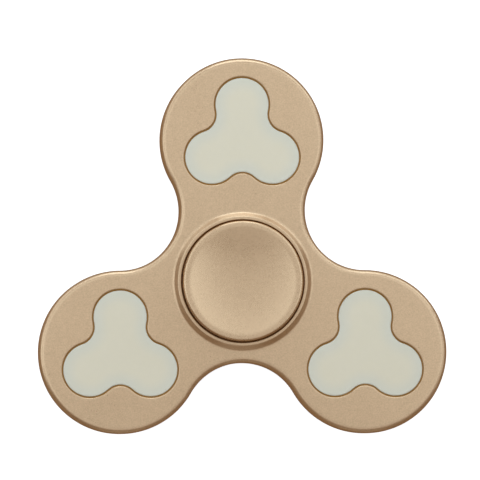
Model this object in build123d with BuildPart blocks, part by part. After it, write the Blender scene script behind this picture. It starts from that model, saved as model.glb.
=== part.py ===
from build123d import *

import os
from math import acos, cos, degrees, radians, sin, sqrt

# A fidget spinner: a three-armed body turns on a ball bearing, which two finger
# caps hold by its inner race. Lengths are in millimetres. The origin is on the
# spin axis at the middle of the bearing, +Z leaves the front cap and +Y runs
# along one arm.

os.makedirs("parts", exist_ok=True)

# Ball bearing, the common 8 x 22 x 7 size
bearing_bore_radius = 4.0
bearing_outer_radius = 11.0
bearing_width = 7.0
ball_count = 7
ball_radius = 1.9845
ball_clearance = 0.03  # ball to the bottom of either groove
groove_relief = 0.1  # groove radius over ball radius
groove_depth = 0.56
race_chamfer = 0.3

# Ribbon cage, two pressed halves with a rivet between each two balls
cage_thickness = 0.3
cage_pocket_clearance = 0.06
cage_side_gap = 0.55  # ribbon edge to either race
rivet_radius = 0.4
rivet_head_height = 0.25
rivet_head_gap = 0.15  # to the domes on either side

# Pressed shields that close the bearing
shield_thickness = 0.25
shield_rim_height = 0.5
shield_rim_thickness = 0.3
shield_lip = 0.65  # how far the shield reaches out over the race's shoulder
shield_inner_gap = 0.2  # to the inner race
shield_cage_gap = 0.25

# Body, a flat plate with three round lobes and a raised ring round the bearing
arm_radius = 25.2  # spin axis to the middle of a lobe
lobe_radius = 14.55
hub_wall = 3.55  # bearing seat to the deepest point of a waist
plate_thickness = 7.0
plate_edge_fillet = 1.0
ring_height = 0.8
ring_land = 0.5
ring_slope = 0.8  # how far the ring's outside leans out
bore_chamfer = 0.12

# Trefoil pockets, one in each lobe on both faces, and their glued inlays
rim_wall = 3.3
leaf_radius = 5.0
notch_radius = 2.95
pocket_depth = 2.2
pocket_edge_fillet = 0.2
inlay_clearance = 0.22
inlay_recess = 0.12  # below the body's face
inlay_edge_fillet = 0.15

# Finger caps
cap_bore_gap = 0.3  # round the cap, inside the body's bore
cap_bearing_gap = 0.4  # under the cap, over the bearing
cap_thickness = 2.3
cap_edge_radius = 0.35
cap_rim_width = 0.68  # flat between the dish and the edge rounding
dish_depth = 0.9
clamp_radius = 5.5
stem_clearance = 0.02
stem_end_gap = 0.2
stud_radius = 2.5
stud_length = 5.4
stud_clearance = 0.02
stud_end_gap = 0.5
stud_end_chamfer = 0.4

# Bearing sizes that follow
bearing_half = bearing_width / 2
pitch_radius = (bearing_bore_radius + bearing_outer_radius) / 2
groove_radius = ball_radius + groove_relief
inner_groove_bottom = pitch_radius - ball_radius - ball_clearance
outer_groove_bottom = pitch_radius + ball_radius + ball_clearance
inner_shoulder_radius = inner_groove_bottom + groove_depth
outer_shoulder_radius = outer_groove_bottom - groove_depth
cage_pocket_radius = ball_radius + cage_pocket_clearance
cage_dome_radius = cage_pocket_radius + cage_thickness
cage_inner_radius = inner_shoulder_radius + cage_side_gap
cage_outer_radius = outer_shoulder_radius - cage_side_gap
shield_seat_height = cage_dome_radius + shield_cage_gap
shield_outer_radius = outer_shoulder_radius + shield_lip
first_ball_angle = 90
rivet_turn = 180 / ball_count  # from a ball to the rivet beside it
rivet_to_ball = 2 * pitch_radius * sin(radians(rivet_turn / 2))
rivet_head_radius = rivet_to_ball - cage_dome_radius - rivet_head_gap

# Body sizes that follow
plate_half = plate_thickness / 2
ring_top = plate_half + ring_height
ring_outer_radius = bearing_outer_radius + ring_land
ring_base_radius = ring_outer_radius + ring_slope
waist_distance = bearing_outer_radius + hub_wall
waist_slack = lobe_radius - waist_distance
waist_radius = (arm_radius**2 - waist_slack**2) / (arm_radius + 2 * waist_slack) - waist_distance
leaf_spread = lobe_radius - rim_wall - leaf_radius  # middle of the trefoil to that of a leaf
pocket_floor = plate_half - pocket_depth
inlay_thickness = pocket_depth - inlay_recess
lobe_angles = [90, 210, 330]

# Cap sizes that follow
cap_radius = bearing_outer_radius - cap_bore_gap
cap_underside = bearing_half + cap_bearing_gap
cap_face = cap_underside + cap_thickness
dish_radius = cap_radius - cap_edge_radius - cap_rim_width
stem_radius = bearing_bore_radius - stem_clearance
stem_end = bearing_half - stem_end_gap
stud_end = bearing_half - stud_length


def at_angle(radius, angle):
    """The point at a radius and an angle from the X axis."""
    return (radius * cos(radians(angle)), radius * sin(radians(angle)))


lobe_centers = [at_angle(arm_radius, angle) for angle in lobe_angles]


def draw_three_lobes(center, spread, outer_radius, inner_radius):
    """Three round lobes spread about a centre, with a hollow between each two.

    The six arcs touch at tangent points: each lies on the line from the middle
    of a lobe to the middle of the hollow beside it.
    """
    reach = outer_radius + inner_radius
    hollow_spread = (spread + sqrt(4 * reach**2 - 3 * spread**2)) / 2
    corner = degrees(acos((spread**2 + reach**2 - hollow_spread**2) / (2 * spread * reach)))
    lobe_arc = 2 * (180 - corner)
    hollow_arc = lobe_arc - 120
    for lobe_angle in lobe_angles:
        hollow_angle = lobe_angle + 60
        lobe_center = Vector(*center) + Vector(*at_angle(spread, lobe_angle))
        hollow_center = Vector(*center) + Vector(*at_angle(hollow_spread, hollow_angle))
        CenterArc(lobe_center, outer_radius, lobe_angle - lobe_arc / 2, lobe_arc)
        CenterArc(hollow_center, inner_radius, hollow_angle + 180 + hollow_arc / 2, -hollow_arc)


def draw_cap_head(side):
    """Half section of a cap's dished head, front for side 1 and back for side -1."""
    race_face = side * bearing_half
    underside = side * cap_underside
    edge_start = side * (cap_face - cap_edge_radius)
    face = side * cap_face
    dish_bottom = side * (cap_face - dish_depth)
    lower = Polyline((0, race_face), (clamp_radius, race_face), (clamp_radius, underside),
                     (cap_radius, underside), (cap_radius, edge_start))
    edge = JernArc(lower @ 1, (0, side), cap_edge_radius, side * 90)
    rim = Line(edge @ 1, (dish_radius, face))
    TangentArc((0, dish_bottom), rim @ 1, tangent=(1, 0))
    Line((0, dish_bottom), (0, race_face))


def end_face(builder, side):
    """The face furthest to the front for side 1, or to the back for side -1."""
    return builder.faces().sort_by(Axis.Z)[-1 if side == 1 else 0]


# Body
with BuildPart() as spinner_body:
    with BuildSketch(Plane.XY.offset(-plate_half)):
        with BuildLine():
            draw_three_lobes((0, 0), arm_radius, lobe_radius, waist_radius)
        make_face()
    extrude(amount=plate_thickness)
    for side in (1, -1):
        fillet(end_face(spinner_body, side).outer_wire().edges(), plate_edge_fillet)
        with BuildSketch(Plane.XY.offset(side * plate_half)):
            for center in lobe_centers:
                with BuildLine():
                    draw_three_lobes(center, leaf_spread, leaf_radius, notch_radius)
                make_face()
        extrude(amount=-side * pocket_depth, mode=Mode.SUBTRACT)
        fillet(end_face(spinner_body, side).inner_wires().edges(), pocket_edge_fillet)
    with BuildSketch(Plane.XZ):
        with BuildLine():
            Polyline((0, -ring_top), (ring_outer_radius, -ring_top), (ring_base_radius, -plate_half),
                     (ring_base_radius, plate_half), (ring_outer_radius, ring_top), (0, ring_top),
                     close=True)
        make_face()
    revolve(axis=Axis.Z)
    Hole(bearing_outer_radius)
    for side in (1, -1):
        chamfer(end_face(spinner_body, side).inner_wires().edges(), bore_chamfer)
spinner_body.part.label = "spinner_body"
export_step(spinner_body.part, "parts/spinner_body.step")

# Inlays, three in the front face and three in the back
for face_name, side in (("front", 1), ("back", -1)):
    for number, center in enumerate(lobe_centers, start=1):
        with BuildPart() as inlay:
            with BuildSketch(Plane.XY.offset(side * pocket_floor)):
                with BuildLine():
                    draw_three_lobes(center, leaf_spread, leaf_radius - inlay_clearance,
                                     notch_radius + inlay_clearance)
                make_face()
            extrude(amount=side * inlay_thickness)
            fillet(end_face(inlay, side).edges(), inlay_edge_fillet)
        inlay.part.label = f"{face_name}_inlay_{number}"
        export_step(inlay.part, f"parts/{inlay.part.label}.step")

# Bearing races
with BuildPart() as bearing_outer_race:
    with BuildSketch(Plane.XZ):
        with BuildLine():
            Polyline((outer_shoulder_radius, -shield_seat_height),
                     (shield_outer_radius, -shield_seat_height), (shield_outer_radius, -bearing_half),
                     (bearing_outer_radius, -bearing_half), (bearing_outer_radius, bearing_half),
                     (shield_outer_radius, bearing_half), (shield_outer_radius, shield_seat_height),
                     (outer_shoulder_radius, shield_seat_height), close=True)
        make_face()
        chamfer(vertices().group_by(Axis.X)[-1], race_chamfer)
        with Locations((outer_groove_bottom - groove_radius, 0)):
            Circle(groove_radius, mode=Mode.SUBTRACT)
    revolve(axis=Axis.Z)
bearing_outer_race.part.label = "bearing_outer_race"
export_step(bearing_outer_race.part, "parts/bearing_outer_race.step")

with BuildPart() as bearing_inner_race:
    with BuildSketch(Plane.XZ):
        with Locations((bearing_bore_radius, 0)):
            Rectangle(inner_shoulder_radius - bearing_bore_radius, bearing_width,
                      align=(Align.MIN, Align.CENTER))
        chamfer(vertices().group_by(Axis.X)[0], race_chamfer)
        with Locations((inner_groove_bottom + groove_radius, 0)):
            Circle(groove_radius, mode=Mode.SUBTRACT)
    revolve(axis=Axis.Z)
bearing_inner_race.part.label = "bearing_inner_race"
export_step(bearing_inner_race.part, "parts/bearing_inner_race.step")

# Balls
for number, place in enumerate(PolarLocations(pitch_radius, ball_count, first_ball_angle), start=1):
    with BuildPart() as ball:
        with Locations(place.position):
            Sphere(ball_radius)
    ball.part.label = f"bearing_ball_{number}"
    export_step(ball.part, f"parts/{ball.part.label}.step")

# Cage: a flat ring with a domed pocket over each ball, and its mirror image
with BuildPart() as cage_front_half:
    with BuildSketch():
        Circle(cage_outer_radius)
        Circle(cage_inner_radius, mode=Mode.SUBTRACT)
    extrude(amount=cage_thickness)
    with PolarLocations(pitch_radius, ball_count, first_ball_angle):
        Sphere(cage_dome_radius)
    with BuildSketch():
        Circle(cage_outer_radius)
        Circle(cage_inner_radius, mode=Mode.SUBTRACT)
    extrude(amount=cage_dome_radius, mode=Mode.INTERSECT)
    with PolarLocations(pitch_radius, ball_count, first_ball_angle):
        Sphere(cage_pocket_radius, mode=Mode.SUBTRACT)
    with PolarLocations(pitch_radius, ball_count, first_ball_angle + rivet_turn):
        Hole(rivet_radius)
cage_front_half.part.label = "cage_front_half"
export_step(cage_front_half.part, "parts/cage_front_half.step")

with BuildPart() as cage_back_half:
    mirror(cage_front_half.part, about=Plane.XY)
cage_back_half.part.label = "cage_back_half"
export_step(cage_back_half.part, "parts/cage_back_half.step")

with BuildPart() as cage_rivets:
    with PolarLocations(pitch_radius, ball_count, first_ball_angle + rivet_turn):
        Cylinder(rivet_radius, 2 * cage_thickness)
        for side in (1, -1):
            with Locations((0, 0, side * (cage_thickness + rivet_head_height / 2))):
                Cylinder(rivet_head_radius, rivet_head_height)
cage_rivets.part.label = "cage_rivets"
export_step(cage_rivets.part, "parts/cage_rivets.step")

# Shields: a flat ring with an upturned rim that grips the outer race
with BuildPart() as bearing_front_shield:
    with BuildSketch(Plane.XZ):
        with Locations((inner_shoulder_radius + shield_inner_gap, shield_seat_height)):
            Rectangle(shield_outer_radius - inner_shoulder_radius - shield_inner_gap, shield_thickness,
                      align=(Align.MIN, Align.MIN))
        with Locations((shield_outer_radius, shield_seat_height)):
            Rectangle(shield_rim_thickness, shield_rim_height, align=(Align.MAX, Align.MIN))
    revolve(axis=Axis.Z)
bearing_front_shield.part.label = "bearing_front_shield"
export_step(bearing_front_shield.part, "parts/bearing_front_shield.step")

with BuildPart() as bearing_back_shield:
    mirror(bearing_front_shield.part, about=Plane.XY)
bearing_back_shield.part.label = "bearing_back_shield"
export_step(bearing_back_shield.part, "parts/bearing_back_shield.step")

# Front cap, with the stud that screws into the back cap
with BuildPart() as front_cap:
    with BuildSketch(Plane.XZ):
        with BuildLine():
            draw_cap_head(1)
        make_face()
        with Locations((0, bearing_half)):
            Rectangle(stud_radius - stud_clearance, stud_length, align=(Align.MIN, Align.MAX))
        chamfer(vertices().group_by(Axis.Y)[0].sort_by(Axis.X)[-1], stud_end_chamfer)
    revolve(axis=Axis.Z)
front_cap.part.label = "front_cap"
export_step(front_cap.part, "parts/front_cap.step")

# Back cap, whose stem fills the bearing's bore and takes the stud
with BuildPart() as back_cap:
    with BuildSketch(Plane.XZ):
        with BuildLine():
            draw_cap_head(-1)
        make_face()
        with Locations((0, stem_end)):
            Rectangle(stem_radius, stem_end + bearing_half, align=(Align.MIN, Align.MAX))
            Rectangle(stud_radius, stem_end - stud_end + stud_end_gap, align=(Align.MIN, Align.MAX),
                      mode=Mode.SUBTRACT)
    revolve(axis=Axis.Z)
back_cap.part.label = "back_cap"
export_step(back_cap.part, "parts/back_cap.step")
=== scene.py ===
from math import acos, asin, atan, ceil, cos, pi, radians, sin, sqrt

import bmesh
import bpy
from mathutils import Matrix, Vector
from mathutils.kdtree import KDTree


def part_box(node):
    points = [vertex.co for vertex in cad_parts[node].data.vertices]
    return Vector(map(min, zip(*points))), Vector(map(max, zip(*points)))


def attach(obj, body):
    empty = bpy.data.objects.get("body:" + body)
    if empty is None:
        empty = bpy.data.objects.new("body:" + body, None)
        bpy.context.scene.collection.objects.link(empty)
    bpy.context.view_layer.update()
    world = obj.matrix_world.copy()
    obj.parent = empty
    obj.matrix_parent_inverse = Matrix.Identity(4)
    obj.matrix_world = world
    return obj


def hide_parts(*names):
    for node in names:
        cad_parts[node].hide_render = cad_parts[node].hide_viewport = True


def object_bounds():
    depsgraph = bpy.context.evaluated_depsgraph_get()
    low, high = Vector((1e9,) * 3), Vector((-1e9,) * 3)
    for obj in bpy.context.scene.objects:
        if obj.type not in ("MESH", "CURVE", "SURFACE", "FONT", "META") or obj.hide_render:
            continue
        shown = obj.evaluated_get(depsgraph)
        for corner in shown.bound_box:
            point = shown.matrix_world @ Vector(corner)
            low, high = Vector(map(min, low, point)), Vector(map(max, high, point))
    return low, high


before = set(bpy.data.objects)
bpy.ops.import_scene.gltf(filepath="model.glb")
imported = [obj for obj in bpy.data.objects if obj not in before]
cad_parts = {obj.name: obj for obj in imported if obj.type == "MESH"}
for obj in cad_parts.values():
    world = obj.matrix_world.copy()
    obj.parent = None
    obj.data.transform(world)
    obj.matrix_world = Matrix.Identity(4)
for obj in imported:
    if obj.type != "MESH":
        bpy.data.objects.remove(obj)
cad_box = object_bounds()


# ---------------------------------------------------------------------------
# Spinner body
# One aluminium plate, milled to three round lobes with a raised ring round the bearing
# seat and two-sided trefoil pockets. It is bead blasted to an even satin and anodised
# champagne, so every rim is soft and the grain is as fine as sugar.
# ---------------------------------------------------------------------------
inlay_low, inlay_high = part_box("front_inlay_1")
arm_radius = 0.0252
lobe_radius = 0.01455
waist_radius = 0.01065
bore_radius = 0.011
bore_chamfer = 0.00005
bore_corner_rounding = 0.00001
ring_land = 0.0005
ring_height = 0.0008
ring_slope = 0.0008
ring_edge_rounding = 0.00008
ring_foot_rounding = 0.00022
ring_apron = 0.0006  # flat drawn round the ring's foot
ring_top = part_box("spinner_body")[1].z
plate_half = ring_top - ring_height
plate_edge_radius = 0.001
lobe_angles = (90, 210, 330)

pocket_floor = inlay_low.z
rim_wall = 0.0033
leaf_radius = 0.005
notch_radius = 0.00295
leaf_spread = lobe_radius - rim_wall - leaf_radius
pocket_edge_radius = 0.0002
pocket_corner_radius = 0.0003
floor_margin = 0.0008

arc_step = 0.00055  # along a swept wall
circle_steps = 192
corner_step = radians(11)  # in a rounded corner of a section
corner_support = 0.00016  # flat kept beside a rounded corner
weld = 0.000002
sharp_angle = radians(32)

noise_spot = 0.6  # of a noise pattern's cycle, the width of one spot
coarse_grain_ratio = 3.1  # coarse grains to fine ones, in size
fine_share = 0.8
coarse_share = 0.2
cloud_size = 0.0042
cloud_roughness = 0.10  # how far clouding moves the roughness
grain_roughness = 0.12
# The four settings below shape a brighter line on the rounded edges: partly wear, partly a painted
# highlight.
wear_and_sheen_lean_rising = (0.25, 0.6)  # from facing sideways, 0, to facing up, 1
wear_and_sheen_lean_falling = (0.8, 0.97)
wear_and_sheen_patch_size = 0.0016
wear_and_sheen_patch_range = (0.46, 0.72)  # of the noise, from kept to fully brightened by wear and painted highlight


def at_angle(radius, angle):
    """The point at a radius and an angle in degrees from the X axis."""
    return Vector((radius * cos(radians(angle)), radius * sin(radians(angle)), 0))


def join_line(mesh, verts):
    """Joins vertices into one line of edges."""
    for first, second in zip(verts, verts[1:]):
        mesh.edges.new((first, second))


def draw_section(mesh, corners):
    """A line through corners (distance, height, rounding) in the XZ plane.

    A rounded corner gets a support point beside each of its ends, where its sides
    are long enough, so that the flats next to it stay flat in shading.
    """
    places = [Vector((x, 0, z)) for x, z, _ in corners]
    roundings = [rounding for _, _, rounding in corners]
    verts, rounded = [], []
    for index, place in enumerate(places):
        around = []
        for side in (-1, 1):
            other = index + side
            if not roundings[index] or not 0 <= other < len(places):
                continue
            length = (places[other] - place).length
            taken = roundings[index] + corner_support
            if length > taken + roundings[other] + corner_support:
                around.append((side, place.lerp(places[other], taken / length)))
        verts += [mesh.verts.new(support) for side, support in around if side == -1]
        verts.append(mesh.verts.new(place))
        if roundings[index]:
            rounded.append((verts[-1], index))
        verts += [mesh.verts.new(support) for side, support in around if side == 1]
    join_line(mesh, verts)
    for vert, index in rounded:
        turn = pi - (places[index - 1] - places[index]).angle(places[index + 1] - places[index])
        bmesh.ops.bevel(mesh, geom=[vert], offset=roundings[index], offset_type="OFFSET",
                        segments=max(2, round(turn / corner_step)), profile=0.5,
                        affect="VERTICES", material=-1)


def sweep_three_lobes(mesh, corners, center, spread, outer_radius, inner_radius):
    """Sweeps a section round three lobes and the hollows between them.

    The section's distances are from the wall, outwards. The arcs meet at tangent
    points, each on the line from the middle of a lobe to that of a hollow.
    """
    swept = bmesh.new()
    draw_section(swept, [(outer_radius + out, height, rounding) for out, height, rounding in corners])
    reach = outer_radius + inner_radius
    hollow_spread = (spread + sqrt(4 * reach**2 - 3 * spread**2)) / 2
    corner = acos((spread**2 + reach**2 - hollow_spread**2) / (2 * spread * reach))
    lobe_arc = 2 * (pi - corner)
    hollow_arc = lobe_arc - radians(120)
    start = Matrix.Translation(center + at_angle(spread, lobe_angles[0]))
    start = start @ Matrix.Rotation(pi / 2 - lobe_arc / 2, 4, "Z")
    bmesh.ops.transform(swept, matrix=start, verts=swept.verts)
    last = swept.verts[:] + swept.edges[:]
    for lobe_angle in lobe_angles:
        lobe_center = center + at_angle(spread, lobe_angle)
        hollow_center = center + at_angle(hollow_spread, lobe_angle + 60)
        for middle, radius, arc in ((lobe_center, outer_radius, lobe_arc),
                                    (hollow_center, inner_radius, -hollow_arc)):
            turned = bmesh.ops.spin(swept, geom=last, cent=middle, axis=(0, 0, 1), angle=arc,
                                    steps=ceil(radius * abs(arc) / arc_step))
            last = turned["geom_last"]
    bmesh.ops.remove_doubles(swept, verts=swept.verts, dist=weld)
    add_mesh(mesh, swept)


def spin_round(mesh):
    """Turns the section that a mesh holds once round the spin axis."""
    bmesh.ops.spin(mesh, geom=mesh.verts[:] + mesh.edges[:], cent=(0, 0, 0), axis=(0, 0, 1),
                   angle=2 * pi, steps=circle_steps, use_merge=True)
    bmesh.ops.remove_doubles(mesh, verts=mesh.verts, dist=weld)


def add_mesh(mesh, other):
    """Puts the faces of one mesh into another."""
    holder = bpy.data.meshes.new("holder")
    other.to_mesh(holder)
    other.free()
    mesh.from_mesh(holder)
    bpy.data.meshes.remove(holder)


def fill_flat(mesh, height):
    """Closes the open loops at a height with flat faces, leaving holes where loops are nested."""
    edges = [edge for edge in mesh.edges if edge.is_boundary
             and all(abs(vert.co.z - height) < weld for vert in edge.verts)]
    bmesh.ops.triangle_fill(mesh, use_beauty=True, use_dissolve=False, edges=edges, normal=(0, 0, 1))


def make_piece(mesh, name, material, body, slot, *nodes):
    """Finishes a mesh and makes it the piece that stands for some nodes."""
    bmesh.ops.remove_doubles(mesh, verts=mesh.verts, dist=weld)
    bmesh.ops.recalc_face_normals(mesh, faces=mesh.faces)
    for face in mesh.faces:
        face.smooth = True
    for edge in mesh.edges:
        edge.smooth = edge.calc_face_angle(0) < sharp_angle
    data = bpy.data.meshes.new(name)
    mesh.to_mesh(data)
    mesh.free()
    piece = bpy.data.objects.new(name, data)
    bpy.context.scene.collection.objects.link(piece)
    data.materials.append(material)
    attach(piece, body)
    if nodes:
        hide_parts(*nodes)
    return piece


def add_node(tree, kind, settings=None, inputs=None):
    """Adds a node, sets its properties, and sets or links its inputs by name or number."""
    node = tree.nodes.new(kind)
    for key, value in (settings or {}).items():
        setattr(node, key, value)
    for key, value in (inputs or {}).items():
        if isinstance(value, bpy.types.NodeSocket):
            tree.links.new(value, node.inputs[key])
        else:
            node.inputs[key].default_value = value
    return node


def calculate(tree, operation, *values):
    """The result of a Math node."""
    return add_node(tree, "ShaderNodeMath", {"operation": operation},
                    dict(enumerate(values))).outputs[0]


def remap(tree, value, from_low, from_high, to_low, to_high):
    """A value moved smoothly from one range to another, and held at its ends."""
    return add_node(tree, "ShaderNodeMapRange", {"interpolation_type": "SMOOTHSTEP"},
                    {"Value": value, "From Min": from_low, "From Max": from_high,
                     "To Min": to_low, "To Max": to_high}).outputs["Result"]


def mix_colors(tree, blend, factor, first, second):
    """The result of a colour Mix node."""
    mix = add_node(tree, "ShaderNodeMix", {"data_type": "RGBA", "blend_type": blend})
    for socket, value in ((mix.inputs[0], factor), (mix.inputs[6], first), (mix.inputs[7], second)):
        if isinstance(value, bpy.types.NodeSocket):
            tree.links.new(value, socket)
        else:
            socket.default_value = value
    return mix.outputs[2]


def noise(tree, place, size, detail=2, roughness=0.5):
    """A noise pattern whose spots are about size metres across, from 0 to 1."""
    return add_node(tree, "ShaderNodeTexNoise", None,
                    {"Vector": place, "Scale": noise_spot / size, "Detail": detail,
                     "Roughness": roughness}).outputs["Fac"]


def new_group(name, inputs, outputs):
    """An empty shader node group with named value or colour sockets."""
    group = bpy.data.node_groups.new(name, "ShaderNodeTree")
    for direction, sockets in (("INPUT", inputs), ("OUTPUT", outputs)):
        for socket_name, kind in sockets.items():
            group.interface.new_socket(socket_name, in_out=direction, socket_type=f"NodeSocket{kind}")
    return group, group.nodes.new("NodeGroupInput").outputs, group.nodes.new("NodeGroupOutput").inputs


def use_group(tree, group, **inputs):
    """Places a node group, and gives its outputs."""
    named = {key.replace("_", " ").capitalize(): value for key, value in inputs.items()}
    return add_node(tree, "ShaderNodeGroup", {"node_tree": group}, named).outputs


def new_material(name):
    """A material with a Principled shader, its node tree and that shader."""
    material = bpy.data.materials.new(name)
    material.use_nodes = True
    return material, material.node_tree, material.node_tree.nodes["Principled BSDF"]


def link_surface(tree, shader, color, surface, bump_strength, bump_distance):
    """Gives a shader a colour, and the roughness and the relief of a surface pattern."""
    tree.links.new(color, shader.inputs["Base Color"])
    tree.links.new(surface["Roughness"], shader.inputs["Roughness"])
    bump = add_node(tree, "ShaderNodeBump", None,
                    {"Strength": bump_strength, "Distance": bump_distance,
                     "Height": surface["Height"]})
    tree.links.new(bump.outputs[0], shader.inputs["Normal"])


def build_satin_grain():
    """Group: the sparkle of a blasted or moulded skin, with broad soft clouding under it."""
    group, given, out = new_group(
        "satin grain",
        {"Color": "Color", "Grain size": "Float", "Sparkle": "Float", "Clouding": "Float",
         "Roughness": "Float"},
        {"Color": "Color", "Roughness": "Float", "Height": "Float"})
    place = group.nodes.new("ShaderNodeTexCoord").outputs["Object"]
    frequency = calculate(group, "DIVIDE", noise_spot, given["Grain size"])
    fine = add_node(group, "ShaderNodeTexNoise", None,
                    {"Vector": place, "Scale": frequency, "Detail": 2.0, "Roughness": 0.6})
    coarse = add_node(group, "ShaderNodeTexNoise", None,
                      {"Vector": place,
                       "Scale": calculate(group, "DIVIDE", frequency, coarse_grain_ratio),
                       "Detail": 1.0})
    grain = calculate(group, "ADD",
                      calculate(group, "MULTIPLY", fine.outputs["Fac"], fine_share),
                      calculate(group, "MULTIPLY", coarse.outputs["Fac"], coarse_share))
    clouds = noise(group, place, cloud_size, roughness=0.55)
    centred_grain = calculate(group, "SUBTRACT", grain, 0.5)
    centred_clouds = calculate(group, "SUBTRACT", clouds, 0.5)
    shade = calculate(group, "MULTIPLY_ADD", centred_grain, given["Sparkle"], 1.0)
    shade = calculate(group, "MULTIPLY_ADD", centred_clouds, given["Clouding"], shade)
    colored = add_node(group, "ShaderNodeVectorMath", {"operation": "SCALE"},
                       {0: given["Color"], "Scale": shade})
    rough = calculate(group, "MULTIPLY_ADD", centred_clouds, cloud_roughness, given["Roughness"])
    rough = calculate(group, "MULTIPLY_ADD", centred_grain, grain_roughness, rough)
    group.links.new(colored.outputs[0], out["Color"])
    group.links.new(rough, out["Roughness"])
    group.links.new(grain, out["Height"])
    return group


def build_edge_wear_and_sheen():
    """Group: a broken, brighter line of wear and painted highlight, on skin that leans between facing
    up and facing sideways.
    """
    group, given, out = new_group(
        "edge wear and sheen",
        {"Color": "Color", "Worn color": "Color", "Amount": "Float"},
        {"Color": "Color"})
    place = group.nodes.new("ShaderNodeTexCoord").outputs["Object"]
    normal = group.nodes.new("ShaderNodeNewGeometry").outputs["Normal"]
    lean = calculate(group, "ABSOLUTE", add_node(group, "ShaderNodeSeparateXYZ", None,
                                                 {0: normal}).outputs["Z"])
    rising = remap(group, lean, *wear_and_sheen_lean_rising, 0.0, 1.0)
    falling = remap(group, lean, *wear_and_sheen_lean_falling, 1.0, 0.0)
    edge = calculate(group, "MULTIPLY", rising, falling)
    patches = noise(group, place, wear_and_sheen_patch_size, detail=3, roughness=0.65)
    rubbed_and_sheen = remap(group, patches, *wear_and_sheen_patch_range, 0.0, 1.0)
    mask = calculate(group, "MULTIPLY", calculate(group, "MULTIPLY", edge, rubbed_and_sheen), given["Amount"])
    group.links.new(mix_colors(group, "MIX", mask, given["Color"], given["Worn color"]), out["Color"])
    return group


satin_grain = build_satin_grain()
edge_wear_and_sheen = build_edge_wear_and_sheen()

champagne = (0.575, 0.42, 0.276, 1)
# Colour of the brighter edges, partly wear and partly painted highlight.
worn_and_sheen_champagne = (0.68, 0.51, 0.34, 1)
champagne_grazing = (0.9, 0.7, 0.52, 1)


def build_blasted_metal(name, metallic, bump_strength, bump_distance, **blast):
    """Bead-blasted, champagne-anodised aluminium, its edges a little brighter from wear and a painted
    highlight.
    """
    material, tree, shader = new_material(name)
    grain = use_group(tree, satin_grain, color=champagne, clouding=0.03, **blast)
    # Rounded edges painted a little brighter: wear and a painted highlight.
    worn = use_group(tree, edge_wear_and_sheen, color=grain["Color"], worn_color=worn_and_sheen_champagne, amount=0.16)
    link_surface(tree, shader, worn["Color"], grain, bump_strength, bump_distance)
    shader.inputs["Metallic"].default_value = metallic
    shader.inputs["Specular Tint"].default_value = champagne_grazing
    return material


blasted_metal = build_blasted_metal(
    "blasted champagne aluminium", metallic=0.8, bump_strength=0.2, bump_distance=0.00006,
    grain_size=0.00016, sparkle=0.6, roughness=0.31)

body_mesh = bmesh.new()
draw_section(body_mesh, [
    (side_radius, side * height, rounding)
    for side, order in ((1, 1), (-1, -1))
    for side_radius, height, rounding in [
        (bore_radius + ring_land + ring_slope + ring_apron, plate_half, 0),
        (bore_radius + ring_land + ring_slope, plate_half, ring_foot_rounding),
        (bore_radius + ring_land, ring_top, ring_edge_rounding),
        (bore_radius + bore_chamfer, ring_top, bore_corner_rounding),
        (bore_radius, ring_top - bore_chamfer, bore_corner_rounding),
    ][::order]
])
spin_round(body_mesh)
sweep_three_lobes(body_mesh, [
    (-plate_edge_radius - corner_support, plate_half, 0),
    (0, plate_half, plate_edge_radius),
    (0, -plate_half, plate_edge_radius),
    (-plate_edge_radius - corner_support, -plate_half, 0),
], Vector(), arm_radius, lobe_radius, waist_radius)
for side in (1, -1):
    for angle in lobe_angles:
        sweep_three_lobes(body_mesh, [
            (pocket_edge_radius + corner_support, side * plate_half, 0),
            (0, side * plate_half, pocket_edge_radius),
            (0, side * pocket_floor, pocket_corner_radius),
            (-floor_margin, side * pocket_floor, 0),
        ], at_angle(arm_radius, angle), leaf_spread, leaf_radius, notch_radius)
    fill_flat(body_mesh, side * plate_half)
    fill_flat(body_mesh, side * pocket_floor)
make_piece(body_mesh, "body_shell", blasted_metal, "rotor", "anodised_alloy", "spinner_body")


# ---------------------------------------------------------------------------
# Trefoil inlays
# Six flat plastic plugs, one glued into each pocket just below the metal. They are
# moulded from milky plastic filled with glow powder, with a faint moulded orange peel.
# Their colour is creamier in the middle, and darker and cooler over the last 3 mm to the rim.
# ---------------------------------------------------------------------------
inlay_clearance = 0.00025
inlay_face = inlay_high.z
inlay_edge_radius = 0.0002
edge_rings = (0.0006, 0.0012, 0.002, 0.003)  # distances in from the rim
edge_attribute = "rim_distance"
milk_middle = (0.655, 0.622, 0.508, 1)
milk_rim = (0.602, 0.602, 0.528, 1)


def build_milky_plastic():
    """Milky plastic filled with glow powder."""
    material, tree, shader = new_material("milky glow plastic")
    rim = add_node(tree, "ShaderNodeAttribute", {"attribute_name": edge_attribute}).outputs["Fac"]
    # The colour goes from creamier in the middle to darker and cooler at the rim.
    depth = remap(tree, rim, 0.0, edge_rings[-1], 0.0, 1.0)
    milk = mix_colors(tree, "MIX", depth, milk_rim, milk_middle)
    grain = use_group(tree, satin_grain, color=milk, grain_size=0.0006, sparkle=0.035,
                      clouding=0.02, roughness=0.36)
    link_surface(tree, shader, grain["Color"], grain, bump_strength=0.1, bump_distance=0.00004)
    shader.inputs["IOR"].default_value = 1.5
    shader.inputs["Subsurface Weight"].default_value = 0.25
    shader.inputs["Subsurface Radius"].default_value = (1.0, 0.95, 0.8)
    shader.inputs["Subsurface Scale"].default_value = 0.0006
    return material


milky_plastic = build_milky_plastic()


def build_inlay(center, side):
    """One plug, its face towards the front for side 1 and towards the back for side -1."""
    mesh = bmesh.new()
    corners = [(-distance, side * inlay_face, 0) for distance in reversed(edge_rings)]
    corners += [
        (0, side * inlay_face, inlay_edge_radius),
        (0, side * pocket_floor, 0),
        (-edge_rings[0], side * pocket_floor, 0),
    ]
    sweep_three_lobes(mesh, corners, center, leaf_spread, leaf_radius - inlay_clearance,
                      notch_radius + inlay_clearance)
    return mesh


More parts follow.
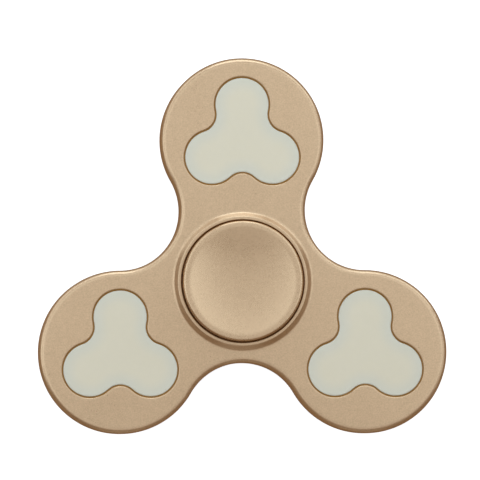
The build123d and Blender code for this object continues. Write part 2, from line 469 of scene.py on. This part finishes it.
def store_rim_distance(piece):
    """Writes each point's distance in from the wall, up to that of the innermost ring."""
    places = [Vector((vert.co.x, vert.co.y, 0)) for vert in piece.data.vertices]
    heights = [abs(vert.co.z) for vert in piece.data.vertices]
    wall = [place for place, height in zip(places, heights)
            if pocket_floor + weld < height < inlay_face - inlay_edge_radius + weld]
    nearest = KDTree(len(wall))
    for index, place in enumerate(wall):
        nearest.insert(place, index)
    nearest.balance()
    values = [min(nearest.find(place)[2], edge_rings[-1]) for place in places]
    piece.data.attributes.new(edge_attribute, "FLOAT", "POINT").data.foreach_set("value", values)


for face_name, side in (("front", 1), ("back", -1)):
    for number, angle in enumerate(lobe_angles, start=1):
        inlay_mesh = build_inlay(at_angle(arm_radius, angle), side)
        fill_flat(inlay_mesh, side * inlay_face)
        fill_flat(inlay_mesh, side * pocket_floor)
        plug = make_piece(inlay_mesh, f"{face_name}_trefoil_{number}", milky_plastic, "rotor",
                          "luminous_plastic", f"{face_name}_inlay_{number}")
        store_rim_distance(plug)


# ---------------------------------------------------------------------------
# Glue lines and gap shade
# Six thin beads of amber epoxy that fill the gap between each plug and its pocket and
# hold the plug; their dark brown is also painted shade for that narrow gap. Their tops
# sink in a hollow meniscus, a little below the plug's face.
# ---------------------------------------------------------------------------
glue_recess = 0.00012  # below the plug's face
glue_top = inlay_face - glue_recess
glue_sag = 0.00005
# Dark amber, which also serves as painted shade in the narrow gap round each plug.
amber = (0.27, 0.13, 0.02, 1)


def build_amber_glue_and_gap_shade():
    """Cured amber epoxy, its dark colour also painted shade for the gap round each plug."""
    material, tree, shader = new_material("cured amber glue and gap shade")
    grain = use_group(tree, satin_grain, color=amber, grain_size=0.0005, sparkle=0.3,
                      clouding=0.25, roughness=0.3)
    link_surface(tree, shader, grain["Color"], grain, bump_strength=0.2, bump_distance=0.00004)
    return material


amber_glue_and_gap_shade = build_amber_glue_and_gap_shade()
for face_name, side in (("front", 1), ("back", -1)):
    for number, angle in enumerate(lobe_angles, start=1):
        glue_mesh = bmesh.new()
        sweep_three_lobes(glue_mesh, [
            (0, side * pocket_floor, 0),
            (0, side * glue_top, 0),
            (-inlay_clearance / 2, side * (glue_top - glue_sag), 0),
            (-inlay_clearance, side * glue_top, 0),
            (-inlay_clearance, side * pocket_floor, 0),
            (0, side * pocket_floor, 0),
        ], at_angle(arm_radius, angle), leaf_spread, leaf_radius, notch_radius)
        make_piece(glue_mesh, f"{face_name}_glue_line_{number}", amber_glue_and_gap_shade, "rotor", None)


# ---------------------------------------------------------------------------
# Ball bearing
# A common 8 x 22 x 7 mm bearing: two ground races, seven polished balls, a riveted
# ribbon cage and two pressed shields. It keeps the shapes of the frame, and only a
# thin ring of it shows past the caps.
# ---------------------------------------------------------------------------
ground_steel_color = (0.56, 0.42, 0.29, 1)
polished_steel_color = (0.66, 0.66, 0.67, 1)
pressed_steel_color = (0.5, 0.44, 0.37, 1)
line_roughness = 0.2  # how far a turned line moves the roughness


def build_turned_lines():
    """Group: fine rings round the spin axis, as grinding and turning leave them."""
    group, given, out = new_group(
        "turned lines",
        {"Color": "Color", "Line size": "Float", "Contrast": "Float", "Roughness": "Float"},
        {"Color": "Color", "Roughness": "Float", "Height": "Float"})
    place = group.nodes.new("ShaderNodeTexCoord").outputs["Object"]
    split = add_node(group, "ShaderNodeSeparateXYZ", None, {0: place}).outputs
    across = calculate(group, "SQRT", calculate(
        group, "ADD", calculate(group, "MULTIPLY", split["X"], split["X"]),
        calculate(group, "MULTIPLY", split["Y"], split["Y"])))
    rings = add_node(group, "ShaderNodeCombineXYZ", None,
                     {"X": across, "Y": split["Z"]}).outputs[0]
    lines = add_node(group, "ShaderNodeTexNoise", None,
                     {"Vector": rings,
                      "Scale": calculate(group, "DIVIDE", noise_spot, given["Line size"]),
                      "Detail": 3.0}).outputs["Fac"]
    centred = calculate(group, "SUBTRACT", lines, 0.5)
    shade = calculate(group, "MULTIPLY_ADD", centred, given["Contrast"], 1.0)
    colored = add_node(group, "ShaderNodeVectorMath", {"operation": "SCALE"},
                       {0: given["Color"], "Scale": shade})
    rough = calculate(group, "MULTIPLY_ADD", centred, line_roughness, given["Roughness"])
    group.links.new(colored.outputs[0], out["Color"])
    group.links.new(rough, out["Roughness"])
    group.links.new(lines, out["Height"])
    return group


turned_lines = build_turned_lines()


def build_steel(name, pattern, bump_distance, **pattern_inputs):
    """Bare bearing steel with a surface pattern."""
    material, tree, shader = new_material(name)
    surface = use_group(tree, pattern, **pattern_inputs)
    link_surface(tree, shader, surface["Color"], surface, 0.25, bump_distance)
    shader.inputs["Metallic"].default_value = 1.0
    return material


ground_steel = build_steel("ground steel", turned_lines, 0.00002, color=ground_steel_color,
                           line_size=0.00008, contrast=0.35, roughness=0.24)
polished_steel = build_steel("polished steel", satin_grain, 0.000004, color=polished_steel_color,
                             grain_size=0.00035, sparkle=0.06, clouding=0.08, roughness=0.1)
pressed_steel = build_steel("pressed steel", satin_grain, 0.00002, color=pressed_steel_color,
                            grain_size=0.0002, sparkle=0.25, clouding=0.22, roughness=0.33)
rolled_steel = build_steel("rolled shield steel", turned_lines, 0.00002, color=pressed_steel_color,
                           line_size=0.00015, contrast=0.3, roughness=0.3)
bearing_finishes = {
    "bearing_outer_race": ground_steel,
    "bearing_inner_race": ground_steel,
    "bearing_front_shield": rolled_steel,
    "bearing_back_shield": rolled_steel,
    "cage_front_half": pressed_steel,
    "cage_back_half": pressed_steel,
    "cage_rivets": pressed_steel,
}
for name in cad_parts:
    if name.startswith("bearing_ball"):
        bearing_finishes[name] = polished_steel
for name, finish in bearing_finishes.items():
    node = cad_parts[name]
    node.data.materials.clear()
    node.data.materials.append(finish)


# ---------------------------------------------------------------------------
# Finger caps
# Two turned and blasted aluminium caps in the body's finish, dished to hold a finger
# and thumb. The front one has a stud that screws into the stem of the back one, and
# they clamp the bearing's inner race between them.
# ---------------------------------------------------------------------------
bearing_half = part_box("bearing_inner_race")[1].z
cap_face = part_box("front_cap")[1].z
stud_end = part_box("front_cap")[0].z
stem_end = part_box("back_cap")[1].z
cap_radius = 0.0107
cap_edge_radius = 0.00045
cap_rim_width = 0.00058
cap_bearing_gap = 0.0004
cap_underside = bearing_half + cap_bearing_gap
dish_radius = cap_radius - cap_edge_radius - cap_rim_width
dish_depth = 0.0009
dish_steps = 22
clamp_radius = 0.0055
stem_radius = 0.00398
stud_radius = 0.00248
stud_chamfer = 0.0004
socket_radius = 0.0025
stud_end_gap = 0.0005
socket_end = stud_end - stud_end_gap
small_rounding = 0.00008

# The body's metal, with a quieter and glossier blast.
blasted_cap_metal = build_blasted_metal(
    "blasted cap aluminium", metallic=0.9, bump_strength=0.12, bump_distance=0.00005,
    grain_size=0.0002, sparkle=0.32, roughness=0.28)


def build_cap(side, inner_corners):
    """A cap, front for side 1 and back for side -1, with the corners of its stud or stem."""
    mesh = bmesh.new()
    sphere_radius = (dish_radius**2 + dish_depth**2) / (2 * dish_depth)
    sphere_center = Vector((0, 0, side * (cap_face - dish_depth + sphere_radius)))
    middle = mesh.verts.new((0, 0, side * (cap_face - dish_depth)))
    bmesh.ops.spin(mesh, geom=[middle], cent=sphere_center, axis=(0, 1, 0),
                   angle=-side * asin(dish_radius / sphere_radius), steps=dish_steps)
    draw_section(mesh, [
        (dish_radius, side * cap_face, 0),
        (dish_radius + corner_support, side * cap_face, 0),
        (cap_radius, side * cap_face, cap_edge_radius),
        (cap_radius, side * cap_underside, small_rounding),
        (clamp_radius, side * cap_underside, 0),
        (clamp_radius, side * bearing_half, small_rounding),
        *inner_corners,
    ])
    bmesh.ops.remove_doubles(mesh, verts=mesh.verts, dist=weld)
    spin_round(mesh)
    return mesh


front_mesh = build_cap(1, [
    (stud_radius, bearing_half, 0),
    (stud_radius, stud_end + stud_chamfer, 0),
    (stud_radius - stud_chamfer, stud_end, 0),
    (0, stud_end, 0),
])
make_piece(front_mesh, "front_finger_cap", blasted_cap_metal, "hub", "anodised_alloy", "front_cap")

back_mesh = build_cap(-1, [
    (stem_radius, -bearing_half, 0),
    (stem_radius, stem_end, small_rounding),
    (socket_radius, stem_end, small_rounding),
    (socket_radius, socket_end, 0),
    (0, socket_end, 0),
])
make_piece(back_mesh, "back_finger_cap", blasted_cap_metal, "hub", "anodised_alloy", "back_cap")


# ---------------------------------------------------------------------------
# Floor, light and camera
# A pale seamless table in a light tent: soft panels in three rings round the object,
# the strongest behind it, and nine small ones overhead. The camera looks almost
# straight down.
# ---------------------------------------------------------------------------
floor_size = 12.0
# The camera sees a white table and tent, and the object gets a brown bounce from them.
table_bounce_color = (0.2, 0.14, 0.08, 1)
table_warmth_color = (1, 0.6, 0.27, 1)
table_warmth = 0.15
table_white = (0.6, 0.6, 0.6, 1)
table_glow_color = (0.97, 1, 1.03, 1)
table_glow = 0.88
tent_bounce_color = (0.27, 0.168, 0.085, 1)
tent_white = (0.9, 0.9, 0.9, 1)
panel_color = (0.95, 1.12, 1.23)

floor_mesh = bmesh.new()
bmesh.ops.create_grid(floor_mesh, x_segments=1, y_segments=1, size=floor_size / 2)
bmesh.ops.translate(floor_mesh, verts=floor_mesh.verts, vec=(0, 0, cad_box[0].z - weld))
floor_data = bpy.data.meshes.new("floor")
floor_mesh.to_mesh(floor_data)
floor_mesh.free()
floor = bpy.data.objects.new("floor", floor_data)
bpy.context.scene.collection.objects.link(floor)

floor_material, floor_tree, floor_shader = new_material("pale table")
floor_tree.nodes.remove(floor_shader)
seen = add_node(floor_tree, "ShaderNodeLightPath").outputs["Is Camera Ray"]


def add_glowing_table(color, glow_color, glow_strength):
    """A matt table with a glow of its own, as a shader of the floor's material."""
    matt = add_node(floor_tree, "ShaderNodeBsdfDiffuse", None, {"Color": color})
    glow = add_node(floor_tree, "ShaderNodeEmission", None,
                    {"Color": glow_color, "Strength": glow_strength})
    return add_node(floor_tree, "ShaderNodeAddShader", None,
                    {0: matt.outputs[0], 1: glow.outputs[0]}).outputs[0]


bounce = add_glowing_table(table_bounce_color, table_warmth_color, table_warmth)
lit = add_glowing_table(table_white, table_glow_color, table_glow)
mixed = add_node(floor_tree, "ShaderNodeMixShader", None, {0: seen, 1: bounce, 2: lit})
floor_tree.links.new(mixed.outputs[0], floor_tree.nodes["Material Output"].inputs["Surface"])
floor_data.materials.append(floor_material)

world = bpy.data.worlds.new("tent")
bpy.context.scene.world = world
world.use_nodes = True
tent = world.node_tree
seen = add_node(tent, "ShaderNodeLightPath").outputs["Is Camera Ray"]
tent_color = mix_colors(tent, "MIX", seen, tent_bounce_color, tent_white)
tent.links.new(tent_color, tent.nodes["Background"].inputs["Color"])


def add_panel(name, place, aim, width, height, watts):
    """A soft panel of light that looks at a point."""
    light = bpy.data.lights.new(name, "AREA")
    light.shape = "RECTANGLE"
    light.size = width
    light.size_y = height
    light.energy = watts
    light.color = panel_color
    panel = bpy.data.objects.new(name, light)
    panel.location = place
    panel.rotation_euler = (aim - place).to_track_quat("-Z", "Y").to_euler()
    panel.visible_camera = False
    bpy.context.scene.collection.objects.link(panel)


# The watts in the two tables below, the panels' colour and the bounce of table and tent
# come from a program's least-squares fit, and were then rounded and changed.
tent_radius = 0.5
tent_middle = Vector((0, 0.01, 0))
panel_width = 0.34
panel_height = 0.22
panel_rows = (  # height above the table in degrees, and watts by direction round the object
    (12, {45: 0.27, 90: 0.38, 135: 0.21, 270: 0.05}),
    (30, {0: 0.19, 45: 0.26, 90: 0.46, 135: 0.22, 180: 0.32}),
    (52, {0: 0.065, 45: 0.05, 180: 0.05, 225: 0.03, 315: 0.025}),
)
for elevation, row in panel_rows:
    for azimuth, watts in row.items():
        out = Matrix.Rotation(radians(azimuth), 3, "Z") @ Vector((
            tent_radius * cos(radians(elevation)), 0, tent_radius * sin(radians(elevation))))
        add_panel(f"tent_{elevation}_{azimuth}", tent_middle + out, Vector(),
                  panel_width, panel_height, watts)

overhead_height = 0.25
overhead_step = 0.13
overhead_size = 0.13
corner_pull = 0.77  # draws the four corner panels in
overhead_watts = (  # by place across and along the table, in steps of overhead_step
    (-1, 1, 0.058), (0, 1, 0.046), (1, 1, 0.054),
    (-1, 0, 0.062), (0, 0.2, 0.031), (1, 0, 0.056),
    (-1, -1, 0.028), (0, -1, 0.032), (1, -1, 0.005),
)
for across, along, watts in overhead_watts:
    pull = corner_pull if across and along else 1
    above = Vector((across * overhead_step * pull, along * overhead_step * pull, overhead_height))
    add_panel(f"overhead_{across}_{along}", above, above - Vector((0, 0, 1)),
              overhead_size, overhead_size, watts)

camera_distance = 1.6
camera_lean = (atan(0.022), -atan(0.045), radians(-0.19))  # off straight down, and its roll
view_width = 0.08545
view_center = Vector((-0.00045, 0.00733, plate_half))
camera_data = bpy.data.cameras.new("camera")
camera_data.lens = camera_data.sensor_width * camera_distance / view_width
camera = bpy.data.objects.new("camera", camera_data)
camera.rotation_euler = camera_lean
camera.location = view_center + camera.rotation_euler.to_matrix() @ Vector((0, 0, camera_distance))
bpy.context.scene.collection.objects.link(camera)
bpy.context.scene.camera = camera
bpy.context.scene.view_settings.view_transform = "Standard"
